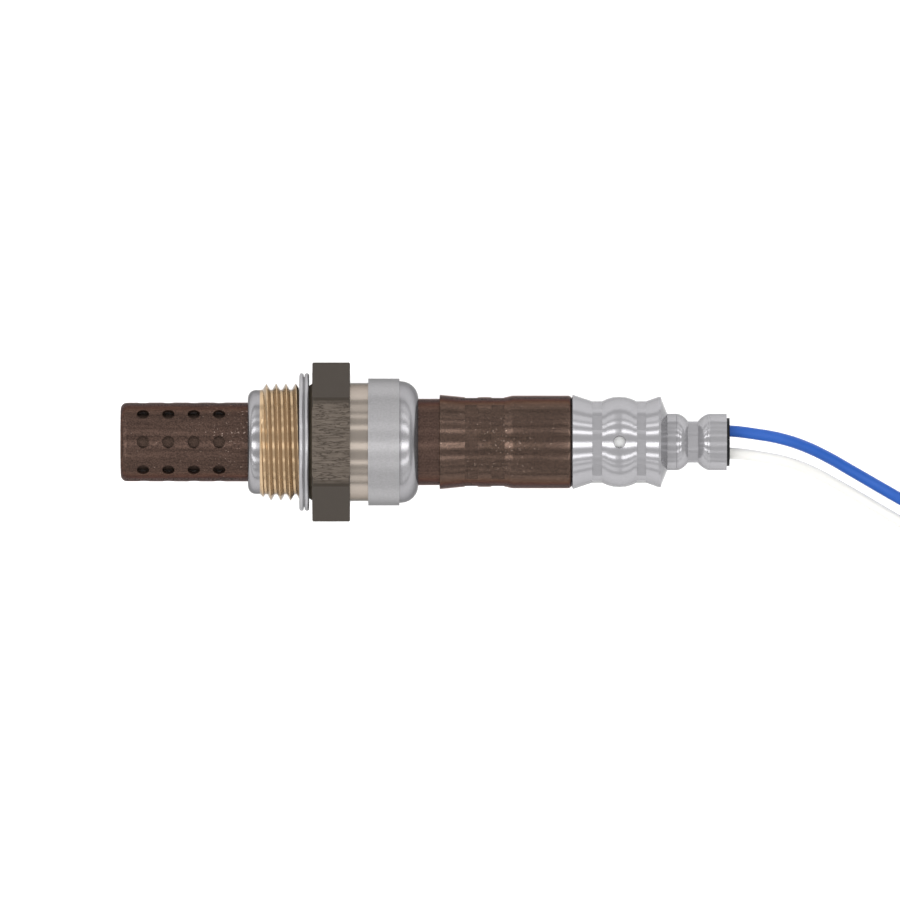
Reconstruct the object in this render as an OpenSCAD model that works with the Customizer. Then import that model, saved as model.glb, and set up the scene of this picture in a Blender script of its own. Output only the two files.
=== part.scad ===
/* [Probe covers] */
// Outer diameter of the outer cover
cover_d = 12.15; // [11.6:0.05:12.8]
// Length of the outer cover in front of the housing
cover_len = 19.6; // [17.6:0.1:24]
// Width of the flange at the open end of both covers
cover_flange_w = 0.8; // [0.6:0.05:1]
// Sheet thickness of the outer cover
cover_wall = 0.5; // [0.35:0.05:0.6]
// Outer corner radius at the closed ends of both covers
cover_round = 1; // [0.7:0.1:1.4]
// Diameter of the gas holes in the outer cover
cover_hole_d = 1.9; // [1.4:0.1:2.2]
// Distance from the closed end to the first ring of holes
cover_hole_inset = 3.5; // [2.5:0.1:4]
// Spacing of the rings of holes along the cover
cover_hole_pitch = 3.9; // [3:0.1:4.2]
// Number of rings of holes
cover_hole_rings = 4; // [2:1:4]
// Number of holes in each ring
cover_holes_round = 8; // [6:1:10]
// Outer diameter of the inner cover
inner_cover_d = 9.8; // [9.2:0.1:10.4]
// Sheet thickness of the inner cover
inner_cover_wall = 0.4; // [0.3:0.05:0.5]
// Air gap between the closed ends of the two covers
inner_cover_gap = 0.9; // [0.5:0.1:1.5]
// Diameter of the gas holes in the inner cover
inner_hole_d = 1.5; // [1:0.1:1.8]
// Number of inner cover holes in each ring
inner_holes_round = 8; // [4:1:8]

/* [Sensing element] */
// Diameter of the ceramic thimble just behind its round tip
element_tip_d = 5.2; // [4.6:0.1:5.8]
// Diameter of the thimble where it meets its collar
element_neck_d = 7.4; // [6.8:0.1:8]
// Gap between the thimble's tip and the inner cover
element_tip_gap = 1.2; // [0.8:0.1:3]
// Diameter of the thimble's collar
element_collar_d = 12.6; // [12.2:0.1:12.9]
// Length of the straight part of the collar
element_collar_len = 2.2; // [1.6:0.1:3]
// Diameter of the thimble's rear stem
element_stem_d = 8; // [7.4:0.1:8.6]
// Diameter of the reference air bore at the rear
element_bore_d = 4.6; // [4.2:0.1:5]
// Wall of the thimble at its tip
element_tip_wall = 1; // [0.7:0.1:1.2]
// Length of the stem behind the inner tube's flange
element_stem_proud = 8; // [7:0.5:9]

/* [Housing] */
// Major diameter of the mounting thread
thread_d = 18; // [17.6:0.1:19]
// Pitch of the mounting thread
thread_pitch = 1.5; // [1.25:0.25:1.75]
// Length of the threaded part in front of the gasket
thread_len = 6.05; // [4.5:0.05:9]
// Length of the smooth rolled lip in front of the thread
lip_len = 1.85; // [1.8:0.05:2.6]
// Outer corner radius of the rolled lip
lip_round = 1.2; // [0.8:0.1:1.4]
// Thickness of the lip where it is rolled over the cover flanges
lip_curl = 0.6; // [0.4:0.05:0.7]
// Length of the collar between gasket and hexagon
collar_len = 0.5; // [0.3:0.1:1.5]
// Width of the hexagon across its flats
hex_af = 22; // [21:0.5:24]
// Height by which the hexagon's corners are turned down
hex_corner_cut = 0.45; // [0.3:0.05:0.8]
// Length of the hexagon
hex_len = 5.8; // [4.5:0.1:8]
// Diameter of the neck behind the hexagon
neck_d = 18.2; // [17.8:0.1:19]
// Length of the neck
neck_len = 2.8; // [2:0.1:4]
// Diameter of the barrel ring
barrel_d = 19.55; // [19.3:0.05:20.5]
// Length of the barrel ring
barrel_len = 4.8; // [4.4:0.1:6]
// Diameter of the crimped shoulder next to the barrel ring
shoulder_d = 18.76; // [18.4:0.02:19.2]
// Length of the crimped shoulder
shoulder_len = 2.9; // [2.8:0.1:3.4]
// Thickness of the crimped shoulder behind the caulking ring
crimp_wall = 1.3; // [1:0.05:1.5]
// Wall of the crimped shoulder around the caulking ring
skirt_wall = 1.38; // [1.1:0.02:1.6]
// Bore behind the front lip
front_bore_d = 9; // [8.6:0.1:9.2]
// Play of the thimble's collar in the bore
collar_play = 0.3; // [0.15:0.05:0.5]

/* [Gasket] */
// Outer diameter of the folded sealing ring
gasket_d = 21.2; // [20:0.1:21.8]
// Thickness of the folded sealing ring
gasket_t = 1.5; // [1.2:0.1:2]
// Depth of the groove between its two leaves
gasket_groove = 0.55; // [0.3:0.05:0.9]

/* [Inner packing] */
// Thickness of the seat washer under the thimble's collar
seat_washer_t = 0.3; // [0.2:0.05:0.5]
// Length of the ceramic ring that presses the talc
packing_ring_len = 4.6; // [4:0.1:5.2]
// Length of that ring's wide flange
packing_flange_len = 2.8; // [2.2:0.1:3]

/* [Inner tube and sleeve] */
// Diameter of the inner tube where it leaves the housing
tube_d = 13.3; // [13:0.05:13.5]
// Sheet thickness of the inner tube
tube_wall = 0.45; // [0.3:0.05:0.55]
// Step by which the tube narrows under the sleeve
tube_step = 0.23; // [0.15:0.01:0.4]
// Length of the inner tube behind the housing
tube_len = 15.3; // [14.5:0.1:18]
// Visible length of the inner tube in front of the sleeve
tube_shown = 3.3; // [2:0.1:4]
// Sheet thickness of the sleeve
sleeve_wall = 0.45; // [0.3:0.05:0.5]
// Height of the sleeve's plain part over its crimp bands
sleeve_rise = 0.25; // [0.15:0.05:0.5]
// Length of the sleeve from its front edge to its rear shoulder
sleeve_len = 20.3; // [19:0.1:24]
// Height of the sleeve's flared front edge over its crimp bands
sleeve_flare = 0.38; // [0.3:0.02:0.7]
// Width of each crimp band on the sleeve
sleeve_band_w = 2; // [1.5:0.1:2.4]
// Distance from the front edge to the first crimp band
sleeve_band_1 = 3.85; // [3:0.05:4.2]
// Distance from the front edge to the second crimp band
sleeve_band_2 = 7.95; // [7:0.05:8.2]
// Depth of the crimp flats
crimp_depth = 0.12; // [0.05:0.01:0.2]

/* [Rear cover] */
// Length of the rear cover
rear_len = 23.7; // [23:0.1:26]
// Sheet thickness of the rear cover
rear_wall = 0.45; // [0.35:0.05:0.5]
// Step from the sleeve up to the rear cover's mouth
rear_mouth_step = 0.15; // [0:0.05:0.4]
// Diameter of the rear cover at its two crimp bands
rear_band_d = 12.6; // [12.3:0.05:13]
// Height of the rear cover's bulge and rim over its crimp bands
rear_bulge_h = 0.7; // [0.5:0.05:1]
// Diameter of the rear cover's neck
rear_neck_d = 8.76; // [8.6:0.02:9.4]
// Diameter of the air vents in the bulge
rear_vent_d = 1.75; // [1:0.05:2]
// Number of air vents
rear_vents = 4; // [2:1:6]
// Thickness of the filter under the rear cover
filter_t = 0.5; // [0.3:0.05:0.7]
// Length of the grommet behind the rear cover
grommet_proud = 0.45; // [0.3:0.05:1.5]
// Rubber between the leads and the rear cover's crimped waist
grommet_web = 0.25; // [0.2:0.05:0.45]

/* [Leads and connector] */
// Outer diameter of each lead
lead_d = 1.8; // [1.6:0.05:1.85]
// Spacing of the two leads in the grommet
lead_pitch = 3.4; // [3.3:0.05:3.5]
// Width of the connector
connector_w = 15; // [14:0.5:18]
// Length of the connector's main block
connector_len = 15; // [14:0.5:20]
// Length of the connector's nose in front of the block
connector_nose_len = 10; // [9:0.5:14]
// Spacing of the two terminals in the connector
connector_pitch = 5; // [5:0.1:5.4]

/* [Hidden] */

// Smoothness of turned parts, small holes and curves drawn by points
turned_fn = 96;
hole_fn = 32;
curve_steps = 6;

// Clearances: sliding fit of ceramics, close fit of crimped sheet, play of a lead in its bore
slide_fit = 0.15;
crimp_fit = 0.03;
lead_fit = 0.05;
// Length by which a cutter reaches past what it cuts
over = 1;

// Threaded shank at its major diameter, with the depth of a 60 degree thread at its two ends
thread_r = thread_d / 2;
thread_depth = 0.6134 * thread_pitch;
root_r = thread_r - thread_depth;
relief_inset = 0.06;
relief_r = root_r - relief_inset;

// Stations of the housing along X, from the gasket's front face at 0
x_gasket = 0;
x_thread = x_gasket - thread_len;
x_lip = x_thread - lip_len;
x_collar = x_gasket + gasket_t;
x_hex = x_collar + collar_len;
x_neck = x_hex + hex_len;
x_barrel = x_neck + neck_len;
x_shoulder = x_barrel + barrel_len;
x_crimp_end = x_shoulder + shoulder_len;
x_crimp_face = x_crimp_end - crimp_wall;
hex_corner_d = hex_af / cos(30) - 2 * hex_corner_cut;
hex_chamfer = 0.15;
collar_chamfer = 0.35;

// Covers: flanges stacked in the recess behind the rolled lip
x_flange = x_lip + lip_curl;
x_flange_mid = x_flange + cover_wall;
x_flange_end = x_flange_mid + inner_cover_wall;
flange_r = cover_d / 2 + cover_flange_w;
recess_r = flange_r + crimp_fit;
lip_hole_r = cover_d / 2 + crimp_fit;
x_cover_tip = x_lip - cover_len;
x_inner_tip = x_cover_tip + cover_wall + inner_cover_gap;

// Bores around the thimble's collar with its talc and around the caulking ring
rear_bore_d = element_collar_d + 2 * collar_play;
counter_bore_d = shoulder_d - 2 * skirt_wall;

// Cone on which the thimble's collar is held, at 45 degrees
cone_inset = 1.5;
x_cone = x_hex - cone_inset;
seat_shift = seat_washer_t * sqrt(2);
washer_inset = 0.2;
x_element_tip = x_inner_tip + inner_cover_wall + element_tip_gap;
function seat_x(r) = x_cone + r - front_bore_d / 2;
x_collar_front = seat_x(element_collar_d / 2) + seat_shift;
x_collar_rear = x_collar_front + element_collar_len;

// Packing behind the thimble's collar, up to the crimped shoulder
x_counter = x_barrel + 1;
packing_gap = 0.6;
x_packing_flange = x_counter + packing_gap;
x_tube_flange = x_packing_flange + packing_flange_len;
x_packing = x_tube_flange - packing_ring_len;
x_caulk = x_tube_flange + tube_wall;
packing_fit = 0.05;
x_element_rear = x_tube_flange + element_stem_proud;

// Inner tube and sleeve
tube_r = tube_d / 2;
tube_slim_r = tube_r - tube_step;
sleeve_band_d = 2 * (tube_slim_r + crimp_fit + sleeve_wall);
sleeve_d = sleeve_band_d + 2 * sleeve_rise;
sleeve_flare_d = sleeve_band_d + 2 * sleeve_flare;
x_tube_rear = x_crimp_end + tube_len;
x_sleeve = x_crimp_end + tube_shown;
tube_step_inset = 0.6;
tube_step_len = 1;
x_sleeve_shoulder = x_sleeve + sleeve_len;
sleeve_round = 0.55;
sleeve_inner_round = 0.3;
sleeve_cone_len = 0.6;
sleeve_mid_rise = 0.06;
sleeve_mid_d = sleeve_band_d + 2 * sleeve_mid_rise;

// Rear cover, its mouth against the sleeve's shoulder
rear_mouth_d = sleeve_d + 2 * rear_mouth_step;
rear_bulge_d = rear_band_d + 2 * rear_bulge_h;
rear_waist_d = lead_pitch + lead_d + 2 * (grommet_web + rear_wall);
mouth_gap = 0.15;
x_rear = x_sleeve_shoulder + mouth_gap;
x_rear_end = x_rear + rear_len;
sleeve_neck_r = rear_band_d / 2 - rear_wall - filter_t;
// Stations of the rear cover's crimps and curves, from its mouth
rear_band_1 = 3;
rear_bulge_front = 4.5;
rear_bulge_rear = 9.85;
rear_rim = 13.2;
rear_rim_w = 0.35;
rear_cone_end = 14.55;
rear_waist_front = 17.7;
rear_waist_rear = 19.3;
rear_neck_2 = 20.9;
rear_curve_in = 1.5;
rear_band_w = 1.4;
x_vents = x_rear + (rear_bulge_front + rear_bulge_rear) / 2;
x_grommet = x_rear + rear_cone_end + 0.3;
grommet_inset = 0.23;
grommet_d = rear_neck_d - 2 * (rear_wall + grommet_inset);
grommet_step = 0.15;

// Terminal insulator, clamped between the inner tube's end and its spring
insulator_front_len = 9;
insulator_flange_len = 1.8;
x_insulator = x_tube_rear - insulator_front_len;
x_insulator_flange = x_tube_rear + insulator_flange_len;
x_insulator_rear = x_sleeve_shoulder + 4.5;
insulator_chamber_len = 4.4;
terminal_hole_r = 1.1;
wire_barrel_len = 3.4;
x_barrel_rear = x_insulator_rear - 0.4;
x_barrel_front = x_barrel_rear - wire_barrel_len;
x_bend = x_insulator + 0.4;
bend_len = 3;
strip_t = 0.3;
strip_w = 1.4;
contact_t = 0.3;
lead_y = lead_pitch / 2;
lead_r = lead_d / 2;

// The surface that the part lies on, below the hexagon's lower flat
floor_z = -hex_af / 2;

// Coil of spare lead: two layers of turns, lifted by the tie's strap
coil_x = 109.5;
coil_y = -2;
coil_inner_r = 6.1;
coil_outer_r = 15.3;
coil_h = 3.65;
coil_round = 0.6;
tie_t = 0.5;
tie_w = 2.5;
coil_z = floor_z + tie_t;

// Lead routes, from the contact's crimp to the coil and from the coil to the connector
blue_route_out = [
    [46, 1.7, 0], [51, 1.7, 0], [56, 1.7, 0], [61, 1.7, 0], [66, 1.7, 0], [70.4, 1.2, -0.3],
    [74.2, 0.5, -1.5], [77.9, -0.7, -3.6], [81.5, -2.4, -6], [85.2, -4.5, -8.2],
    [89.2, -6.8, -9.7], [93.2, -9.1, -10.1], [97, -11.3, -10.1], [100, -13.1, -9.9],
    [102.8, -14.6, -9.6], [106.2, -15.8, -9.6]];
blue_route_in = [
    [108.2, 5.1, -9.6], [105.5, 2.8, -9.6], [104.4, 0, -9.4], [104.4, -2.8, -8.8],
    [105.5, -5.2, -7.9], [107.3, -6.6, -6.9], [109.6, -7.1, -6.1], [112.5, -7.1, -5.9],
    [116.5, -7, -5.9], [120.5, -6.8, -5.85], [124, -6.2, -5.5], [127, -5.7, -5.1],
    [130, -5.6, -5], [133, -5.6, -5], [136, -5.6, -5]];
white_route_out = [
    [46, -1.7, 0], [51, -1.7, 0], [56, -1.7, 0], [61, -1.7, 0], [66, -1.7, 0],
    [71, -2.3, -0.4], [75.3, -3.2, -1.9], [79, -4.6, -4.2], [82.6, -6.5, -6.6],
    [86.3, -8.6, -8.7], [90, -10.8, -9.9], [93.5, -12.8, -10.1], [97, -14.7, -10.1],
    [100.5, -16.6, -9.9], [104, -17.8, -9.3], [107.5, -18, -8.5], [111, -17.3, -7.9],
    [114.3, -15.8, -7.8], [117.4, -13.8, -7.8]];
white_route_in = [
    [102.4, -3.2, -7.8], [103.7, -6, -7.4], [105.8, -8, -6.7], [108.3, -9, -6.1],
    [111.5, -9.2, -5.9], [115.5, -9.2, -5.9], [119.5, -9.4, -5.85], [123.2, -10, -5.5],
    [126.6, -10.5, -5.1], [130, -10.6, -5], [133, -10.6, -5], [136, -10.6, -5]];
tube_sides = 8;

// Connector: wire entry towards the coil, nose away from it
x_plug = 130;
plug_y = -8.1;
plug_z = -5;
plug_h = 2 * (plug_z - floor_z);
plug_round = 2;
terminal_box = 2.2;
x_plug_nose = x_plug + connector_len;
x_plug_end = x_plug_nose + connector_nose_len;
x_crimp_wire = 136;
nose_wall = 2.1;
nose_w = connector_pitch + terminal_box + 2 * nose_wall;
nose_h = 7.4;
nose_round = 1.4;
seal_bore_r = 2.1;
seal_bore_len = 5.4;
window = 1.1;
lock_len = 1.6;
latch_w = 4.6;
latch_t = 1.1;
latch_z = plug_z + nose_h / 2 + 1.3;

function unit(v) = v / norm(v);
// Side of a step from a to b that faces the axis
function facing_in(a, b) = let (d = unit(b - a)) [d[1], -d[0]];
// A line of [x, r] points moved towards the axis by the thickness of the sheet
function inset(path, t) = [for (i = [0 : len(path) - 1])
    let (n0 = i == 0 ? facing_in(path[0], path[1]) : facing_in(path[i - 1], path[i]),
         n1 = i == len(path) - 1 ? n0 : facing_in(path[i], path[i + 1]),
         s = n0 + n1)
    path[i] + s * (2 * t / (s * s))];
function backwards(path) = [for (i = [len(path) - 1 : -1 : 0]) path[i]];
// Points of an arc about [x, r], from angle a0 to a1
function arc(x, r, radius, a0, a1) = [for (i = [0 : curve_steps])
    let (a = a0 + (a1 - a0) * i / curve_steps) [x + radius * cos(a), r + radius * sin(a)]];
// Soft S-shaped step in pressed sheet from one radius to another, without its two ends
function soft_step(x0, r0, x1, r1) = [for (i = [1 : curve_steps - 1])
    let (t = i / curve_steps) [x0 + (x1 - x0) * t, r0 + (r1 - r0) * (1 - cos(180 * t)) / 2]];

// Turned solid about the X axis from an outline of [x, r] points
module turned(outline) {
    rotate([0, 90, 0]) rotate_extrude($fn = turned_fn) polygon([for (p = outline) [p[1], p[0]]]);
}
// Shell of sheet metal about the X axis from the line of its outer face
module pressed(path, wall) {
    turned(concat(path, backwards(inset(path, wall))));
}
module along_x(x, len, r) {
    translate([x, 0, 0]) rotate([0, 90, 0]) cylinder(r = r, h = len, $fn = turned_fn);
}
// Hollow cutter that leaves a prism of flats on a round band
module crimp_flats(x, len, apothem, sides, turn) {
    translate([x, 0, 0]) rotate([0, 90, 0]) difference() {
        cylinder(r = apothem + over, h = len, $fn = turned_fn);
        translate([0, 0, -over]) rotate([0, 0, turn])
            cylinder(r = apothem / cos(180 / sides), h = len + 2 * over, $fn = sides);
    }
}
// Cutters for a ring of holes through the wall at radius r, the first one facing up
module hole_ring(x, count, d, r, turn = 0) {
    for (i = [0 : count - 1])
        translate([x, 0, 0]) rotate([turn + 360 / count * i, 0, 0]) translate([0, 0, r - over])
            cylinder(d = d, h = 2 * over, $fn = hole_fn);
}

module housing() {
    lip_corner = relief_r - lip_round;
    shoulder_round = shoulder_len - 0.2;
    body = concat(
        [[x_lip, 0], [x_lip, lip_corner]],
        arc(x_lip + lip_round, lip_corner, lip_round, 180, 90),
        [[x_thread, relief_r], [x_thread + thread_depth / 2, thread_r], [x_gasket, thread_r],
         [x_gasket, relief_r], [x_collar, relief_r], [x_collar, thread_r - collar_chamfer],
         [x_hex, thread_r], [x_hex + hex_len / 2, thread_r], [x_hex + hex_len / 2, neck_d / 2],
         [x_barrel, neck_d / 2], [x_barrel, barrel_d / 2], [x_shoulder, barrel_d / 2],
         [x_shoulder, shoulder_d / 2]],
        arc(x_crimp_end - shoulder_round, shoulder_d / 2 - shoulder_round, shoulder_round, 90, 0),
        [[x_crimp_end, 0]]);
    bore = [
        [x_lip - over, 0], [x_lip - over, lip_hole_r], [x_flange, lip_hole_r],
        [x_flange, recess_r], [x_flange_end, recess_r], [x_flange_end, front_bore_d / 2],
        [x_cone, front_bore_d / 2], [seat_x(rear_bore_d / 2), rear_bore_d / 2],
        [x_counter, rear_bore_d / 2], [x_counter, counter_bore_d / 2],
        [x_crimp_face, counter_bore_d / 2], [x_crimp_face, tube_r + crimp_fit],
        [x_crimp_end + over, tube_r + crimp_fit], [x_crimp_end + over, 0]];
    hex_disc = [
        [x_hex, 0], [x_hex, hex_corner_d / 2 - hex_chamfer], [x_hex + hex_chamfer, hex_corner_d / 2],
        [x_neck - hex_chamfer, hex_corner_d / 2], [x_neck, hex_corner_d / 2 - hex_chamfer],
        [x_neck, 0]];
    color("#8f8a80") difference() {
        union() {
            turned(body);
            intersection() {
                turned(hex_disc);
                translate([x_hex, 0, 0]) rotate([0, 90, 0]) rotate([0, 0, 30])
                    cylinder(d = hex_af / cos(30), h = hex_len, $fn = 6);
            }
        }
        turned(bore);
    }
}

// Folded ring: its rear leaf reaches behind the thread, its front leaf stays clear of it
module gasket() {
    fold_gap = 0.16;
    leaf = (gasket_t - fold_gap) / 4;
    front_r = thread_r + slide_fit;
    captive_r = root_r + slide_fit;
    rim_r = gasket_d / 2 - leaf;
    color("silver") rotate([0, 90, 0]) rotate_extrude($fn = turned_fn) {
        for (side = [[x_gasket + leaf, front_r], [x_collar - leaf, captive_r]]) {
            translate([side[1], side[0] - leaf]) square([rim_r - side[1], 2 * leaf]);
            translate([rim_r, side[0]]) circle(r = leaf, $fn = hole_fn);
        }
        translate([front_r, x_gasket]) square([rim_r - front_r - gasket_groove + leaf, gasket_t]);
    }
}

// Line of a probe cover's outer face: flat closed end, tube, flange at the open end
function cover_line(x_tip, r, x_flange_front) = concat(
    [[x_tip, 0]], arc(x_tip + cover_round, r - cover_round, cover_round, 180, 90),
    [[x_flange_front, r], [x_flange_front, flange_r]]);

module outer_probe_cover() {
    color("#4a3a31") difference() {
        pressed(cover_line(x_cover_tip, cover_d / 2, x_flange), cover_wall);
        for (k = [0 : cover_hole_rings - 1])
            hole_ring(x_cover_tip + cover_hole_inset + k * cover_hole_pitch,
                cover_holes_round, cover_hole_d, cover_d / 2);
    }
}

module inner_probe_cover() {
    rings = cover_hole_rings - 2;
    color("#54443a") difference() {
        pressed(cover_line(x_inner_tip, inner_cover_d / 2, x_flange_mid), inner_cover_wall);
        for (k = [0 : rings])
            hole_ring(x_cover_tip + cover_hole_inset + (k + 0.5) * cover_hole_pitch,
                inner_holes_round, inner_hole_d, inner_cover_d / 2, 180 / inner_holes_round);
        along_x(x_inner_tip - over, inner_cover_wall + 2 * over, inner_hole_d / 2);
    }
}

module sensing_element() {
    tip_r = element_tip_d / 2;
    neck_r = element_neck_d / 2;
    bore_tip_r = tip_r - element_tip_wall;
    rear_round = 0.4;
    body = concat(
        arc(x_element_tip + tip_r, 0, tip_r, 180, 90),
        [[seat_x(neck_r) + seat_shift, neck_r], [x_collar_front, element_collar_d / 2],
         [x_collar_rear, element_collar_d / 2], [x_collar_rear, element_stem_d / 2],
         [x_element_rear - rear_round, element_stem_d / 2],
         [x_element_rear, element_stem_d / 2 - rear_round], [x_element_rear, 0]]);
    bore = concat(
        arc(x_element_tip + tip_r, 0, bore_tip_r, 180, 90),
        [[x_collar_front, element_bore_d / 2], [x_element_rear + over, element_bore_d / 2],
         [x_element_rear + over, 0]]);
    color("ivory") difference() {
        turned(body);
        turned(bore);
    }
}

module element_seat_washer() {
    r0 = front_bore_d / 2 + washer_inset;
    r1 = element_collar_d / 2 - washer_inset;
    color("silver") turned([
        [seat_x(r0), r0], [seat_x(r1), r1], [seat_x(r1) + seat_shift, r1], [seat_x(r0) + seat_shift, r0]]);
}

module talc_packing() {
    color("gainsboro") turned([
        [x_collar_rear, element_stem_d / 2], [x_collar_rear, rear_bore_d / 2],
        [x_packing, rear_bore_d / 2], [x_packing, element_stem_d / 2]]);
}

module packing_ring() {
    hole_r = element_stem_d / 2 + packing_fit;
    color("white") turned([
        [x_packing, hole_r], [x_packing, rear_bore_d / 2 - packing_fit],
        [x_packing_flange, rear_bore_d / 2 - packing_fit],
        [x_packing_flange, counter_bore_d / 2 - packing_fit],
        [x_tube_flange, counter_bore_d / 2 - packing_fit], [x_tube_flange, hole_r]]);
}

module caulking_ring() {
    color("silver") turned([
        [x_caulk, tube_r + packing_fit], [x_caulk, counter_bore_d / 2 - packing_fit],
        [x_crimp_face, counter_bore_d / 2 - packing_fit], [x_crimp_face, tube_r + packing_fit]]);
}

module inner_tube() {
    step = x_sleeve + tube_step_inset;
    rim = counter_bore_d / 2 - packing_fit;
    outer = concat(
        [[x_caulk, rim], [x_caulk, tube_r], [step, tube_r]],
        soft_step(step, tube_r, step + tube_step_len, tube_slim_r),
        [[step + tube_step_len, tube_slim_r], [x_tube_rear, tube_slim_r]]);
    color("#5b463b") pressed(outer, tube_wall);
}

module outer_sleeve() {
    band_r = sleeve_band_d / 2;
    body_r = sleeve_d / 2;
    band_1 = x_sleeve + sleeve_band_1;
    band_1_rear = band_1 + sleeve_band_w;
    band_2 = x_sleeve + sleeve_band_2;
    cone = band_2 + sleeve_band_w;
    blend = 0.5;
    x_neck_rear = x_rear + rear_rim - mouth_gap;
    outer = concat(
        [[x_sleeve, sleeve_flare_d / 2], [band_1, band_r], [band_1_rear, band_r]],
        soft_step(band_1_rear, band_r, band_1_rear + blend, sleeve_mid_d / 2),
        [[band_1_rear + blend, sleeve_mid_d / 2], [band_2 - blend, sleeve_mid_d / 2]],
        soft_step(band_2 - blend, sleeve_mid_d / 2, band_2, band_r),
        [[band_2, band_r], [cone, band_r]],
        soft_step(cone, band_r, cone + sleeve_cone_len, body_r),
        [[cone + sleeve_cone_len, body_r]],
        arc(x_sleeve_shoulder - sleeve_round, body_r - sleeve_round, sleeve_round, 90, 0),
        arc(x_sleeve_shoulder + sleeve_inner_round, sleeve_neck_r + sleeve_inner_round,
            sleeve_inner_round, 180, 270),
        [[x_neck_rear, sleeve_neck_r]]);
    color("#4d3a30") difference() {
        pressed(outer, sleeve_wall);
        for (x = [band_1, band_2])
            crimp_flats(x, sleeve_band_w, band_r - crimp_depth, 8, 22.5);
        hole_ring(x_vents, rear_vents, rear_vent_d, sleeve_neck_r, 180 / rear_vents);
    }
}

// Flat strip of sheet in the X-Y plane along a line of points
module strip(path) {
    translate([0, 0, -strip_w / 2]) linear_extrude(strip_w)
        polygon(concat(path, backwards(inset(path, strip_t))));
}

module wire_barrel(y) {
    translate([0, y, 0]) difference() {
        along_x(x_barrel_front, wire_barrel_len, lead_r);
        along_x(x_barrel_front + strip_t, wire_barrel_len, lead_r - contact_t);
    }
}

module ground_contact() {
    clip_r = element_stem_d / 2 + contact_t;
    clip_len = 4;
    clip_gap = 2;
    clip_rear = x_element_rear - 0.6;
    clip_front = clip_rear - clip_len;
    color("#c9c2a8") {
        difference() {
            along_x(clip_front, clip_len, clip_r);
            along_x(clip_front - over, clip_len + 2 * over, clip_r - contact_t);
            translate([clip_front - over, 0, -clip_gap / 2])
                cube([clip_len + 2 * over, 2 * clip_r, clip_gap]);
        }
        strip([[clip_rear - clip_len / 2, -clip_r + strip_t], [x_bend, -clip_r + strip_t],
            [x_bend + bend_len, -lead_y + strip_t / 2], [x_barrel_front + 0.2, -lead_y + strip_t / 2]]);
        wire_barrel(-lead_y);
    }
}

module signal_contact() {
    plug_r = element_bore_d / 2 - lead_fit;
    plug_len = 5.5;
    plug_front = x_element_rear - plug_len;
    flange_x = x_element_rear + contact_t;
    flange_out_r = element_stem_d / 2 - 0.6;
    color("#c9c2a8") {
        difference() {
            turned([[plug_front, 0], [plug_front, plug_r - 0.6], [plug_front + 0.8, plug_r],
                [x_element_rear, plug_r], [x_element_rear, flange_out_r],
                [flange_x, flange_out_r], [flange_x, 0]]);
            along_x(plug_front + contact_t, plug_len - contact_t, plug_r - 2 * contact_t);
        }
        strip([[x_element_rear + 0.1, strip_t / 2], [x_bend, strip_t / 2],
            [x_bend + bend_len, lead_y + strip_t / 2], [x_barrel_front + 0.2, lead_y + strip_t / 2]]);
        wire_barrel(lead_y);
    }
}

module terminal_insulator() {
    front_r = tube_slim_r - tube_wall - slide_fit;
    flange_out_r = sleeve_d / 2 - sleeve_wall - slide_fit;
    boss_r = sleeve_neck_r - sleeve_wall - slide_fit;
    chamber_wall = 0.9;
    chamber_r = front_r - chamber_wall;
    edge = 0.4;
    color("white") difference() {
        turned([
            [x_insulator, 0], [x_insulator, front_r - edge], [x_insulator + edge, front_r],
            [x_tube_rear, front_r], [x_tube_rear, flange_out_r], [x_insulator_flange, flange_out_r],
            [x_insulator_flange, boss_r], [x_insulator_rear - edge, boss_r],
            [x_insulator_rear, boss_r - edge], [x_insulator_rear, 0]]);
        along_x(x_insulator - over, insulator_chamber_len + over, chamber_r);
        for (y = [-lead_y, lead_y])
            translate([0, y, 0]) along_x(x_insulator, x_insulator_rear - x_insulator + over, terminal_hole_r);
    }
}

module insulator_spring() {
    rear_face = x_sleeve_shoulder - sleeve_wall;
    front_r = sleeve_d / 2 - sleeve_wall - 2 * slide_fit;
    rear_r = sleeve_neck_r + (front_r - sleeve_neck_r) * 2 / 3;
    slots = 6;
    slot_w = 1.2;
    collar = 1.4;
    color("lightsteelblue") difference() {
        turned([[x_insulator_flange, front_r], [rear_face, rear_r],
            [rear_face, rear_r - contact_t], [x_insulator_flange, front_r - contact_t]]);
        for (i = [0 : slots - 1])
            rotate([360 / slots * i, 0, 0])
                translate([x_insulator_flange + collar, -slot_w / 2, 0])
                    cube([rear_face - x_insulator_flange, slot_w, front_r + over]);
    }
}

module vent_filter() {
    filter_front = x_rear + rear_band_1 - 0.1;
    filter_rear = x_rear + rear_bulge_rear + rear_band_w;
    color("white") turned([
        [filter_front, sleeve_neck_r], [filter_front, sleeve_neck_r + filter_t],
        [filter_rear, sleeve_neck_r + filter_t], [filter_rear, sleeve_neck_r]]);
}

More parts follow.
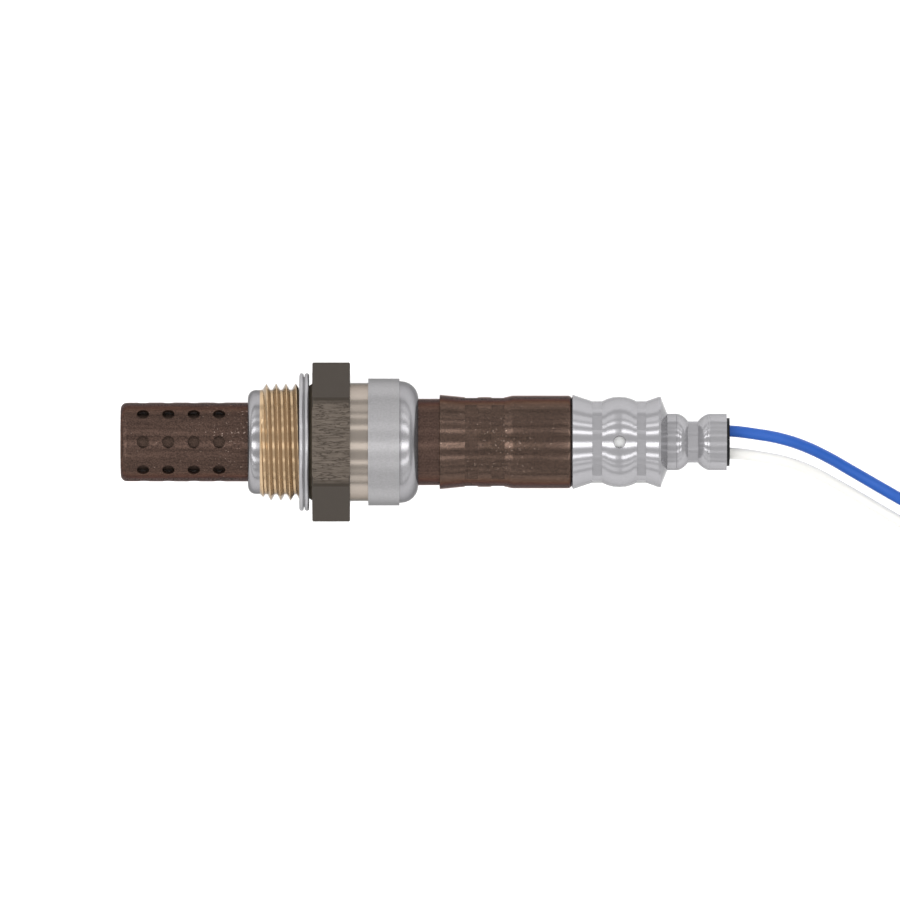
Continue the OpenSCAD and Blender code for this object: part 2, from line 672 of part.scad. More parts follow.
// Line of the rear cover's outer face from its mouth to its end
bulge_half = (rear_bulge_rear - rear_bulge_front) / 2;
bulge_rise = (rear_bulge_d - rear_band_d) / 2;
bulge_radius = (bulge_half * bulge_half + bulge_rise * bulge_rise) / (2 * bulge_rise);
bulge_angle = asin(bulge_half / bulge_radius);
rear_front_line = concat(
    [[x_rear, rear_mouth_d / 2], [x_rear + rear_band_1, rear_band_d / 2]],
    arc(x_rear + rear_bulge_front + bulge_half, rear_bulge_d / 2 - bulge_radius, bulge_radius,
        90 + bulge_angle, 90 - bulge_angle),
    [[x_rear + rear_bulge_rear + rear_band_w, rear_band_d / 2],
     [x_rear + rear_rim, rear_bulge_d / 2], [x_rear + rear_rim + rear_rim_w, rear_bulge_d / 2],
     [x_rear + rear_cone_end, rear_neck_d / 2]]);
rear_neck_line = concat(
    [[x_rear + rear_waist_front - rear_curve_in, rear_neck_d / 2]],
    soft_step(x_rear + rear_waist_front - rear_curve_in, rear_neck_d / 2,
        x_rear + rear_waist_front, rear_waist_d / 2),
    [[x_rear + rear_waist_front, rear_waist_d / 2], [x_rear + rear_waist_rear, rear_waist_d / 2]],
    soft_step(x_rear + rear_waist_rear, rear_waist_d / 2, x_rear + rear_neck_2, rear_neck_d / 2),
    [[x_rear + rear_neck_2, rear_neck_d / 2], [x_rear_end, rear_neck_d / 2]]);

module rear_cover() {
    band_2 = x_rear + rear_bulge_rear;
    color("#b4b3b5") difference() {
        pressed(concat(rear_front_line, rear_neck_line), rear_wall);
        crimp_flats(x_rear + rear_band_1, rear_bulge_front - rear_band_1,
            rear_band_d / 2 - crimp_depth, 10, 26);
        crimp_flats(band_2, rear_band_w, rear_band_d / 2 - crimp_depth, 10, 26);
        crimp_flats(x_rear + rear_waist_front, rear_waist_rear - rear_waist_front,
            rear_waist_d / 2 - crimp_depth, 8, 22.5);
        hole_ring(x_vents, rear_vents, rear_vent_d, rear_bulge_d / 2);
    }
}

module grommet() {
    rear_face = x_rear_end + grommet_proud;
    seat = inset(concat(rear_front_line, rear_neck_line), rear_wall);
    fit = [for (p = seat) if (p[0] > x_grommet && p[0] < x_rear_end) p];
    color("#1c1c1e") difference() {
        turned(concat(
            [[x_grommet, 0], [x_grommet, rear_neck_d / 2 - rear_wall]], fit,
            [[x_rear_end - grommet_step, rear_neck_d / 2 - rear_wall],
             [x_rear_end - grommet_step, grommet_d / 2], [rear_face, grommet_d / 2], [rear_face, 0]]));
        for (y = [-lead_y, lead_y])
            translate([0, y, 0]) along_x(x_grommet - over, rear_len, lead_r + lead_fit);
    }
}

// Round solid along a route: one ring of points across each of its points
module lead_tube(route) {
    last = len(route) - 1;
    points = [for (i = [0 : last])
        let (d = unit(route[min(i + 1, last)] - route[max(i - 1, 0)]),
             u = unit(cross([0, 0, 1], d)), v = cross(d, u))
        for (k = [0 : tube_sides - 1])
            let (a = 360 * (k + 0.5) / tube_sides) route[i] + lead_r * (u * cos(a) + v * sin(a))];
    sides = [for (i = [0 : last - 1], k = [0 : tube_sides - 1])
        let (a = i * tube_sides + k, b = i * tube_sides + (k + 1) % tube_sides)
        each [[a, b + tube_sides, b], [a, a + tube_sides, b + tube_sides]]];
    polyhedron(points, concat([[for (k = [0 : tube_sides - 1]) k]], sides,
        [[for (k = [tube_sides - 1 : -1 : 0]) last * tube_sides + k]]));
}

module coil_shape() {
    translate([coil_x, coil_y, coil_z]) rotate_extrude($fn = turned_fn) polygon([
        [coil_inner_r, coil_round], [coil_inner_r + coil_round, 0], [coil_outer_r - coil_round, 0],
        [coil_outer_r, coil_round], [coil_outer_r, coil_h - coil_round],
        [coil_outer_r - coil_round, coil_h], [coil_inner_r + coil_round, coil_h],
        [coil_inner_r, coil_h - coil_round]]);
}

module blue_lead() {
    color("royalblue") difference() {
        union() {
            lead_tube(blue_route_out);
            lead_tube(blue_route_in);
        }
        coil_shape();
    }
}

module white_lead() {
    color("whitesmoke") difference() {
        union() {
            lead_tube(white_route_out);
            lead_tube(white_route_in);
        }
        coil_shape();
    }
}

module lead_coil() {
    color("cornflowerblue") coil_shape();
}

module lead_tie() {
    near = coil_y + sqrt(pow(coil_inner_r, 2) - pow(tie_w / 2, 2)) - crimp_fit;
    far = coil_y + coil_outer_r;
    head = [3.6, 3, 3];
    head_lift = 0.4;
    tail_len = 4;
    tail_y = far + (tie_t + head[1]) / 2;
    color("#26262a") translate([coil_x, 0, 0]) {
        difference() {
            translate([-tie_w / 2, near - tie_t, floor_z])
                cube([tie_w, far - near + 2 * tie_t, coil_h + 2 * tie_t]);
            translate([-tie_w, near, floor_z + tie_t]) cube([2 * tie_w, far - near, coil_h]);
        }
        translate([-head[0] / 2, far + tie_t / 2, floor_z + head_lift]) cube(head);
        translate([-tie_w / 2, tail_y, floor_z + head_lift + head[2] / 2])
            cube([tie_w, tie_t, tail_len]);
    }
}

// Bar with rounded long edges along X about the connector's centre line
module plug_bar(x, len, w, h, round) {
    translate([x, plug_y, plug_z]) rotate([90, 0, 90]) linear_extrude(len) {
        square([w - 2 * round, h], center = true);
        square([w, h - 2 * round], center = true);
        for (sy = [-1, 1], sz = [-1, 1])
            translate([sy * (w / 2 - round), sz * (h / 2 - round)]) circle(r = round, $fn = hole_fn);
    }
}

function terminal_y(side) = plug_y + side * connector_pitch / 2;

module connector_housing() {
    grip_pitch = 3;
    rib_t = 0.8;
    cavity = terminal_box + 2 * lead_fit;
    latch_root = 1;
    latch_len = connector_nose_len - lock_len + latch_root;
    hook_len = 1.4;
    hook_h = 0.7;
    color("#4b4e52") difference() {
        union() {
            plug_bar(x_plug, connector_len, connector_w, plug_h, plug_round);
            plug_bar(x_plug_nose, connector_nose_len - lock_len, nose_w, nose_h, nose_round);
            for (x = [x_plug_nose - grip_pitch, x_plug_nose - 2 * grip_pitch], s = [-1, 1])
                translate([x, plug_y + s * connector_w / 2 - rib_t / 2, floor_z + plug_round])
                    cube([rib_t, rib_t, plug_h - 2 * plug_round]);
            translate([x_plug_nose - latch_root, plug_y - latch_w / 2, latch_z]) {
                cube([latch_len, latch_w, latch_t]);
                translate([latch_len - hook_len, 0, 0]) cube([hook_len, latch_w, latch_t + hook_h]);
            }
        }
        for (side = [-1, 1]) {
            translate([0, terminal_y(side), plug_z]) {
                along_x(x_plug - over, seal_bore_len + over, seal_bore_r);
                translate([x_plug, -cavity / 2, -cavity / 2]) cube([2 * connector_len, cavity, cavity]);
            }
        }
    }
}

module connector_seal() {
    base = 0.7;
    seal_len = 3.4;
    bead_w = 0.8;
    inner = 0.02;
    color("darkorange") difference() {
        union() {
            plug_bar(x_plug_nose, seal_len, nose_w + 2 * base, nose_h + 2 * base, nose_round + base);
            for (x = [x_plug_nose + 0.6, x_plug_nose + 2])
                plug_bar(x, bead_w, nose_w + 3 * base, nose_h + 3 * base, nose_round + 1.5 * base);
        }
        plug_bar(x_plug_nose - over, seal_len + 2 * over, nose_w + inner, nose_h + inner, nose_round);
    }
}

module connector_lock() {
    front = x_plug_end - lock_len;
    color("#d9d6cc") difference() {
        plug_bar(front, lock_len, nose_w, nose_h, nose_round);
        for (side = [-1, 1])
            translate([front - over, terminal_y(side) - window, plug_z - window])
                cube([lock_len + 2 * over, 2 * window, 2 * window]);
    }
}

module connector_terminal(side) {
    box_front = x_plug_end - lock_len - 0.1;
    box_len = 9;
    crimp_len = 3;
    lap = 0.2;
    web_t = 0.8;
    slot = 1.3;
    x_web = x_crimp_wire + crimp_len - lap;
    x_box = box_front - box_len;
    color("#c8a860") translate([0, terminal_y(side), plug_z]) difference() {
        union() {
            along_x(x_crimp_wire, crimp_len, lead_r);
            translate([x_web, -terminal_box / 2, -web_t / 2])
                cube([x_box + lap - x_web, terminal_box, web_t]);
            translate([x_box, -terminal_box / 2, -terminal_box / 2])
                cube([box_len, terminal_box, terminal_box]);
        }
        translate([x_box + 1, -slot / 2, -slot / 2]) cube([box_len, slot, slot]);
    }
}

module wire_seal(side) {
    core_r = seal_bore_r - 0.35;
    seal_len = seal_bore_len - 0.2;
    lip_w = 0.7;
    lip_pitch = 1.5;
    color("seagreen") translate([x_plug - 0.8, terminal_y(side), plug_z]) difference() {
        union() {
            along_x(0, seal_len, core_r);
            for (k = [0 : 2])
                along_x(lip_w + slide_fit + lip_pitch * k, lip_w, seal_bore_r);
            along_x(0, 0.6, core_r + 0.2);
        }
        along_x(-over, seal_len + 2 * over, lead_r + lead_fit);
    }
}

module connector_terminal_1() { connector_terminal(-1); }
module connector_terminal_2() { connector_terminal(1); }
module wire_seal_1() { wire_seal(-1); }
module wire_seal_2() { wire_seal(1); }

housing();
gasket();
outer_probe_cover();
inner_probe_cover();
sensing_element();
element_seat_washer();
talc_packing();
packing_ring();
caulking_ring();
inner_tube();
outer_sleeve();
ground_contact();
signal_contact();
terminal_insulator();
insulator_spring();
vent_filter();
rear_cover();
grommet();
blue_lead();
white_lead();
lead_coil();
lead_tie();
connector_housing();
connector_seal();
connector_lock();
connector_terminal_1();
connector_terminal_2();
wire_seal_1();
wire_seal_2();
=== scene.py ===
from math import atan2, cos, hypot, pi, radians, sin, tan

import bmesh
import bpy
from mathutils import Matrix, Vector


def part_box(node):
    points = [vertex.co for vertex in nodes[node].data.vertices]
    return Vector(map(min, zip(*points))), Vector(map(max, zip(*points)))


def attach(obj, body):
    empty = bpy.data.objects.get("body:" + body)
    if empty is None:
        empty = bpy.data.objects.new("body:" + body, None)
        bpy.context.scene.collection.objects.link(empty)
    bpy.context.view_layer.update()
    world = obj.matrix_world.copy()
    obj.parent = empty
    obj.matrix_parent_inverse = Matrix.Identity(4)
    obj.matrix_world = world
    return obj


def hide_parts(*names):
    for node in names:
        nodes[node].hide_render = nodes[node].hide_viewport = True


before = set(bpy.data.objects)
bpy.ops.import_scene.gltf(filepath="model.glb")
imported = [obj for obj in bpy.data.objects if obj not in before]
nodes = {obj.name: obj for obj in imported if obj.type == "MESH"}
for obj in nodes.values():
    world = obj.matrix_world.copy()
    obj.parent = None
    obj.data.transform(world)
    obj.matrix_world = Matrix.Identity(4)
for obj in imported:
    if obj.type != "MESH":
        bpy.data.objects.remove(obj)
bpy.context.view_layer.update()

# The picture. The part lies on a plain white sheet, and a long lens looks straight down on it, so
# that the sensor's axis runs level across the frame and the leads go out of it at the right.
MM = 0.001
VIEW_CENTRE = Vector((23.18, -1.23, 0)) * MM
VIEW_WIDTH = 138.46 * MM
CAMERA_HEIGHT = 4.0

camera_data = bpy.data.cameras.new("camera")
camera_data.sensor_width = 36
camera_data.lens = camera_data.sensor_width * CAMERA_HEIGHT / VIEW_WIDTH
camera = bpy.data.objects.new("camera", camera_data)
camera.location = VIEW_CENTRE + Vector((0, 0, CAMERA_HEIGHT))
bpy.context.scene.collection.objects.link(camera)
bpy.context.scene.camera = camera
bpy.context.scene.view_settings.view_transform = "Standard"


# The studio: strip lights run along the sensor's axis at several angles round it. Each has a
# bright tube before and behind the part and dimmer stretches right over it, so a face that
# slants along the axis takes strong streaks and a straight tube takes weak ones or none.
STRIP_DISTANCE = 0.6
STRIP_ENDS = (-0.9, -0.085, 0.03, 0.12, 0.9)
# Each strip's angle from straight up towards +Y, its width in metres, and its brightness before
# and behind the part, over the body and over the rear cover.
STRIPS = ((70, 0.16, 1.4, 0.7, 0.4), (51, 0.08, 3.6, 1.2, 0.4), (28, 0.09, 6.0, 1.7, 0.5),
          (-8, 0.14, 6.5, 1.8, 0.5), (-40, 0.09, 5.6, 1.7, 0.5), (-58, 0.05, 2.0, 0.5, 0.3),
          (-75, 0.14, 1.3, 1.0, 0.4))


def strip_light(angle, width, bright, over_body, over_rear):
    """A row of lights along X, at that angle from straight up, aimed at the part's axis."""
    turn = radians(angle)
    for low, high, radiance in zip(STRIP_ENDS, STRIP_ENDS[1:],
                                   (bright, over_body, over_rear, bright)):
        light = bpy.data.lights.new("strip", "AREA")
        light.shape = "RECTANGLE"
        light.size = high - low
        light.size_y = width
        light.energy = radiance * pi * light.size * width
        lamp = bpy.data.objects.new("strip", light)
        lamp.location = ((low + high) / 2, STRIP_DISTANCE * sin(turn), STRIP_DISTANCE * cos(turn))
        lamp.rotation_euler = (-turn, 0, 0)
        lamp.visible_camera = False
        bpy.context.scene.collection.objects.link(lamp)


for strip in STRIPS:
    strip_light(*strip)

world = bpy.data.worlds.new("room")
world.use_nodes = True
room = world.node_tree.nodes["Background"]
room.inputs["Color"].default_value = (1, 1, 1, 1)
room.inputs["Strength"].default_value = 0.8
bpy.context.scene.world = world


# The floor: a sheet of matt white acrylic, lit faintly from below so that it takes hardly any
# shadow. Its finish is made of shader nodes, as every one below is: a colour is turned to linear
# light, a node is added with its settings, and a material starts from its shader's plain values.
def linear(code):
    """The linear colour of an sRGB hex value such as "c8c8c8"."""
    values = [int(code[i:i + 2], 16) / 255 for i in (0, 2, 4)]
    return tuple(v / 12.92 if v <= 0.04045 else ((v + 0.055) / 1.055) ** 2.4 for v in values) + (1,)


def add_node(tree, kind, inputs=None, **settings):
    """Adds a node, sets its properties, and sets or links the inputs given by name or number."""
    made = tree.nodes.new(kind)
    for key, value in settings.items():
        setattr(made, key, value)
    for key, value in (inputs or {}).items():
        if isinstance(value, bpy.types.NodeSocket):
            tree.links.new(value, made.inputs[key])
        else:
            made.inputs[key].default_value = value
    return made


def start_material(name, colour, metallic, roughness):
    """(material, its node tree, its shader, the piece's own coordinates in metres)."""
    material = bpy.data.materials.new(name)
    material.use_nodes = True
    tree = material.node_tree
    shader = tree.nodes["Principled BSDF"]
    shader.inputs["Base Color"].default_value = linear(colour)
    shader.inputs["Metallic"].default_value = metallic
    shader.inputs["Roughness"].default_value = roughness
    coords = add_node(tree, "ShaderNodeTexCoord").outputs["Object"]
    return material, tree, shader, coords


def acrylic_material():
    """Matt cast acrylic: white, with hardly any shine."""
    material, _, shader, _ = start_material("white_acrylic", "e6e6e6", 0, 0.9)
    shader.inputs["Specular IOR Level"].default_value = 0.1
    shader.inputs["Emission Color"].default_value = (1, 1, 1, 1)
    shader.inputs["Emission Strength"].default_value = 0.34
    return material


FLOOR_SIZE = 6
FLOOR_GAP = 0.02 * MM
floor_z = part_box("housing")[0].z - FLOOR_GAP
floor_bm = bmesh.new()
bmesh.ops.create_grid(floor_bm, x_segments=1, y_segments=1, size=FLOOR_SIZE / 2)
bmesh.ops.translate(floor_bm, verts=floor_bm.verts, vec=(0, 0, floor_z))
floor_mesh = bpy.data.meshes.new("floor")
floor_bm.to_mesh(floor_mesh)
floor_bm.free()
floor_mesh.materials.append(acrylic_material())
floor = bpy.data.objects.new("floor", floor_mesh)
bpy.context.scene.collection.objects.link(floor)


# The leads: stranded copper in a smooth extruded insulation, one blue and one white. They come
# out of the grommet, lie down in a loose bow, are wound in a tied coil past the picture's edge
# and end at the terminals of a sealed connector.
LEAD_D = 1.8 * MM
COIL_CENTRE = Vector((109.5, -2, 0)) * MM
COIL_TURNS = 3
POINTS_PER_TURN = 16

# Each lead's route in millimetres, out of the grommet to the coil and from there to the connector.
blue_route_out = [
    [46, 1.7, 0], [51, 1.7, 0], [56, 1.7, 0], [61, 1.7, 0], [66, 1.7, 0], [70.4, 1.2, -0.3],
    [74.2, 0.5, -1.5], [77.9, -0.7, -3.6], [81.5, -2.4, -6], [85.2, -4.5, -8.2],
    [89.2, -6.8, -9.7], [93.2, -9.1, -10.1], [97, -11.3, -10.1], [100, -13.1, -9.9],
    [102.8, -14.6, -9.6], [106.2, -15.8, -9.6]]
blue_route_in = [
    [108.2, 5.1, -9.6], [105.5, 2.8, -9.6], [104.4, 0, -9.4], [104.4, -2.8, -8.8],
    [105.5, -5.2, -7.9], [107.3, -6.6, -6.9], [109.6, -7.1, -6.1], [112.5, -7.1, -5.9],
    [116.5, -7, -5.9], [120.5, -6.8, -5.85], [124, -6.2, -5.5], [127, -5.7, -5.1],
    [130, -5.6, -5], [133, -5.6, -5], [136, -5.6, -5]]
white_route_out = [
    [46, -1.7, 0], [51, -1.7, 0], [56, -1.7, 0], [61, -1.7, 0], [66, -1.7, 0],
    [71, -2.3, -0.4], [75.3, -3.2, -1.9], [79, -4.6, -4.2], [82.6, -6.5, -6.6],
    [86.3, -8.6, -8.7], [90, -10.8, -9.9], [93.5, -12.8, -10.1], [97, -14.7, -10.1],
    [100.5, -16.6, -9.9], [104, -17.8, -9.3], [107.5, -18, -8.5], [111, -17.3, -7.9],
    [114.3, -15.8, -7.8], [117.4, -13.8, -7.8]]
white_route_in = [
    [102.4, -3.2, -7.8], [103.7, -6, -7.4], [105.8, -8, -6.7], [108.3, -9, -6.1],
    [111.5, -9.2, -5.9], [115.5, -9.2, -5.9], [119.5, -9.4, -5.85], [123.2, -10, -5.5],
    [126.6, -10.5, -5.1], [130, -10.6, -5], [133, -10.6, -5], [136, -10.6, -5]]


def coil_turns(start, end):
    """Points of the flat spiral from start in to end, anticlockwise round the coil's centre."""
    first_arm, last_arm = start - COIL_CENTRE, end - COIL_CENTRE
    first_angle, last_angle = atan2(first_arm.y, first_arm.x), atan2(last_arm.y, last_arm.x)
    first_r, last_r = hypot(first_arm.x, first_arm.y), hypot(last_arm.x, last_arm.y)
    sweep = (last_angle - first_angle) % (2 * pi) + COIL_TURNS * 2 * pi
    steps = round(sweep / (2 * pi) * POINTS_PER_TURN)
    points = []
    for i in range(1, steps):
        share = i / steps
        r = first_r * (1 - share) + last_r * share
        angle = first_angle + sweep * share
        points.append(COIL_CENTRE + Vector((r * cos(angle), r * sin(angle), start.z)))
    return points


def lead_curve(name, route_out, route_in, material):
    """One lead as a round curve along its route out, its turns in the coil and its route in."""
    first = [Vector(p) * MM for p in route_out]
    last = [Vector(p) * MM for p in route_in]
    points = first + coil_turns(first[-1], last[0]) + last
    curve = bpy.data.curves.new(name, "CURVE")
    curve.dimensions = "3D"
    curve.bevel_depth = LEAD_D / 2
    curve.bevel_resolution = 6
    curve.resolution_u = 8
    curve.use_fill_caps = True
    spline = curve.splines.new("BEZIER")
    spline.bezier_points.add(len(points) - 1)
    for bezier_point, place in zip(spline.bezier_points, points):
        bezier_point.co = place
        bezier_point.handle_left_type = bezier_point.handle_right_type = "AUTO"
    curve.materials.append(material)
    lead = bpy.data.objects.new(name, curve)
    bpy.context.scene.collection.objects.link(lead)
    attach(lead, "root")
    return lead


def per_mm(size):
    """A pattern's scale for features of that size in millimetres."""
    return 1 / (size * MM)


def insulation_material(name, colour, shade):
    """Extruded fluoropolymer: smooth and waxy, with a faint cloudiness in its colour."""
    material, tree, shader, coords = start_material(name, colour, 0, 0.34)
    shader.inputs["Specular IOR Level"].default_value = 0.15
    cloud = add_node(tree, "ShaderNodeTexNoise",
                     {"Vector": coords, "Scale": per_mm(4), "Detail": 3.0})
    tint = add_node(tree, "ShaderNodeMix", {0: cloud.outputs["Fac"], 6: linear(shade),
                                            7: linear(colour)}, data_type="RGBA")
    tree.links.new(tint.outputs[2], shader.inputs["Base Color"])
    skin = add_node(tree, "ShaderNodeTexNoise",
                    {"Vector": coords, "Scale": per_mm(0.5), "Detail": 2.0})
    bump = add_node(tree, "ShaderNodeBump",
                    {"Height": skin.outputs["Fac"], "Strength": 0.12, "Distance": 0.02 * MM})
    tree.links.new(bump.outputs["Normal"], shader.inputs["Normal"])
    return material


blue_cord = lead_curve("blue_cord", blue_route_out, blue_route_in,
                       insulation_material("blue_insulation_finish", "204b94", "1c4386"))
white_cord = lead_curve("white_cord", white_route_out, white_route_in,
                        insulation_material("white_insulation_finish", "c0bfbc", "bbbab7"))
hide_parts("blue_lead", "lead_coil")
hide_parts("white_lead")


# The probe covers: two deep-drawn stainless cups, one in the other, with punched gas holes. The
# exhaust's heat has tinted them brown, with a fine scale, long draw marks and a few pale scuffs.
def dress(node, material):
    """Gives a CAD node its finish."""
    for place in nodes[node].material_slots:
        place.material = material


# Scuffs thin out between these two distances from their centre.
SCUFF_NEAR, SCUFF_FAR = 1 * MM, 12 * MM


def heat_tinted_material(name, dark, light, roughness, scuffs=0, scuff_centre=(0, 0, 0),
                         metallic=0.75):
    """Stainless steel tinted by heat: a soft brown shine, with scale, draw marks and scuffs.

    The real scale is about 0.05 mm and its marks 0.1 mm, too fine to show, so both are coarser.
    """
    material, tree, shader, coords = start_material(name, dark, metallic, roughness)
    shader.inputs["Specular IOR Level"].default_value = 0.15
    shader.inputs["Specular Tint"].default_value = linear("946f5d")
    scale_grain = add_node(tree, "ShaderNodeTexNoise",
                           {"Vector": coords, "Scale": per_mm(0.22), "Detail": 2.0,
                            "Roughness": 0.7})
    along = add_node(tree, "ShaderNodeMapping", {"Vector": coords, "Scale": (0.05, 1, 1)})
    draw_marks = add_node(tree, "ShaderNodeTexNoise",
                          {"Vector": along.outputs["Vector"], "Scale": per_mm(0.35),
                           "Detail": 2.0})
    marks = add_node(tree, "ShaderNodeMath", {0: draw_marks.outputs["Fac"], 1: 0.35,
                                              2: scale_grain.outputs["Fac"]},
                     operation="MULTIPLY_ADD")
    level = add_node(tree, "ShaderNodeMapRange",
                     {"Value": marks.outputs[0], "From Min": 0.52, "From Max": 0.82})
    tint = add_node(tree, "ShaderNodeMix", {0: level.outputs[0], 6: linear(dark),
                                            7: linear(light)}, data_type="RGBA")
    away = add_node(tree, "ShaderNodeVectorMath", {0: coords, 1: scuff_centre},
                    operation="DISTANCE")
    near = add_node(tree, "ShaderNodeMapRange",
                    {"Value": away.outputs["Value"], "From Min": SCUFF_NEAR,
                     "From Max": SCUFF_FAR, "To Min": 0.09, "To Max": 0.02})
    specks = add_node(tree, "ShaderNodeTexNoise",
                      {"Vector": coords, "Scale": per_mm(0.4), "Detail": 3.0,
                       "Roughness": 0.65})
    reach = add_node(tree, "ShaderNodeMath", {0: specks.outputs["Fac"], 1: near.outputs[0]},
                     operation="ADD")
    scuffed = add_node(tree, "ShaderNodeMapRange",
                       {"Value": reach.outputs[0], "From Min": 0.72, "From Max": 0.76,
                        "To Max": scuffs})
    worn = add_node(tree, "ShaderNodeMix", {0: scuffed.outputs[0], 6: tint.outputs[2],
                                            7: linear("a8958a")}, data_type="RGBA")
    tree.links.new(worn.outputs[2], shader.inputs["Base Color"])
    bump = add_node(tree, "ShaderNodeBump",
                    {"Height": scale_grain.outputs["Fac"], "Strength": 0.2,
                     "Distance": 0.01 * MM})
    tree.links.new(bump.outputs["Normal"], shader.inputs["Normal"])
    return material


dress("outer_probe_cover",
      heat_tinted_material("heat_tinted_cover", "302622", "4d3d36", 0.3, scuffs=0.6,
                           scuff_centre=(-9.5 * MM, 1.5 * MM, 6 * MM)))
dress("inner_probe_cover",
      heat_tinted_material("sooted_cover", "3c312b", "51423b", 0.5, metallic=0.4))


# The ceramic core, closed in by the covers and the housing: a zirconia thimble on a soft steel
# seat washer, with pressed talc, an alumina ring and a caulking ring that seal it from behind.
def grained_material(name, colour, shade, roughness, grain, strength=0.2):
    """Sintered ceramic or pressed powder: matt and even, with a grain that shows close to.

    The real grains are some 0.01 mm, so they are drawn much coarser to show at all.
    """
    material, tree, shader, coords = start_material(name, colour, 0, roughness)
    grains = add_node(tree, "ShaderNodeTexNoise",
                      {"Vector": coords, "Scale": per_mm(grain), "Detail": 3.0})
    tint = add_node(tree, "ShaderNodeMix", {0: grains.outputs["Fac"], 6: linear(shade),
                                            7: linear(colour)}, data_type="RGBA")
    tree.links.new(tint.outputs[2], shader.inputs["Base Color"])
    bump = add_node(tree, "ShaderNodeBump",
                    {"Height": grains.outputs["Fac"], "Strength": strength,
                     "Distance": 0.03 * MM})
    tree.links.new(bump.outputs["Normal"], shader.inputs["Normal"])
    return material


# Zirconia is ivory with a dull sheen, pressed talc chalky and greyer, and alumina nearly white.
dress("sensing_element", grained_material("zirconia_finish", "ece6d4", "dcd3bd", 0.45, 0.6))
dress("talc_packing", grained_material("talc_finish", "dcd9d0", "c6c2b6", 0.9, 0.3))
dress("packing_ring", grained_material("alumina_finish", "f0efec", "e4e1da", 0.4, 0.5))


# The seat washer and the caulking ring: soft steel pressings that the housing squeezes against
# the core. Their satin finish, with its fine marks and soft shine, serves the other steels too.
def satin_steel_material(name, colour, shade, roughness, grain, strength, stretch=1.0,
                         metallic=0.85):
    """Bare or plated metal: a soft metallic shine over grain drawn out along X by stretch.

    Tool marks and blasted grit of 0.05 to 0.1 mm are drawn coarser, so that they show.
    """
    material, tree, shader, coords = start_material(name, colour, metallic, roughness)
    along = add_node(tree, "ShaderNodeMapping",
                     {"Vector": coords, "Scale": (1 / stretch, 1, 1)})
    grains = add_node(tree, "ShaderNodeTexNoise",
                      {"Vector": along.outputs["Vector"], "Scale": per_mm(grain),
                       "Detail": 4.0, "Roughness": 0.65})
    tint = add_node(tree, "ShaderNodeMix", {0: grains.outputs["Fac"], 6: linear(shade),
                                            7: linear(colour)}, data_type="RGBA")
    tree.links.new(tint.outputs[2], shader.inputs["Base Color"])
    shader.inputs["Specular Tint"].default_value = linear("8c8c8c")
    bump = add_node(tree, "ShaderNodeBump",
                    {"Height": grains.outputs["Fac"], "Strength": strength,
                     "Distance": 0.02 * MM})
    tree.links.new(bump.outputs["Normal"], shader.inputs["Normal"])
    return material


# Soft steel is pale and bare, with a broad dull shine.
washer_steel = satin_steel_material("soft_steel_washer", "c9cbcf", "a9abb0", 0.4, 0.4, 0.2)
dress("element_seat_washer", washer_steel)
dress("caulking_ring", washer_steel)


# The housing: one steel forging, turned, threaded and plated. The rolled lip and the crimped
# shoulder are burnished by their tools, the thread carries a bronze anti-seize coat, the hexagon
# keeps its dark forged skin, the neck is turned and the barrel is blasted.
THREAD_PITCH = 1.5 * MM
THREAD_R = 9.0 * MM
THREAD_DEPTH = 0.92 * MM
THREAD_ANGLE = 60
CREST_FLAT = 0.1 * MM
CREST_X = -4.7 * MM
X_THREAD = -6.05 * MM
X_RELIEF = X_THREAD - 0.1 * MM
RELIEF_R = 8.02 * MM
RIM_R = 8.0 * MM
THREAD_TURNS = 6
STEPS_PER_TURN = 72
FLANK_CUTS = 3
X_COLLAR, X_HEX, X_NECK, X_BARREL, X_SHOULDER = (x * MM for x in (1.5, 2.0, 7.8, 10.6, 15.4))
ZONE_EDGES = (X_THREAD, X_COLLAR, X_HEX, X_NECK, X_BARREL, X_SHOULDER)
ZONE_DEPTH = 0.05 * MM
SLACK = 0.01 * MM
MERGE_GAP = 0.001 * MM


def merged_copy(node):
    """A bmesh of a CAD node, its loose triangles joined."""
    bm = bmesh.new()
    bm.from_mesh(nodes[node].data)
    bmesh.ops.remove_doubles(bm, verts=bm.verts, dist=MERGE_GAP)
    return bm


def crease_over_30(edge):
    """Whether the faces on both sides of an edge turn by more than 30 degrees there."""
    return edge.calc_face_angle(0) > radians(30)


def new_piece(bm, name, materials, is_crease=crease_over_30):
    """The object of a finished bmesh, riding on the root: smooth but for its creased edges."""
    for face in bm.faces:
        face.smooth = True
    for edge in bm.edges:
        edge.smooth = not is_crease(edge)
    mesh = bpy.data.meshes.new(name)
    bm.to_mesh(mesh)
    bm.free()
    if "custom_normal" in mesh.attributes:
        mesh.attributes.remove(mesh.attributes["custom_normal"])
    for material in materials:
        mesh.materials.append(material)
    piece = bpy.data.objects.new(name, mesh)
    bpy.context.scene.collection.objects.link(piece)
    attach(piece, "root")
    return piece


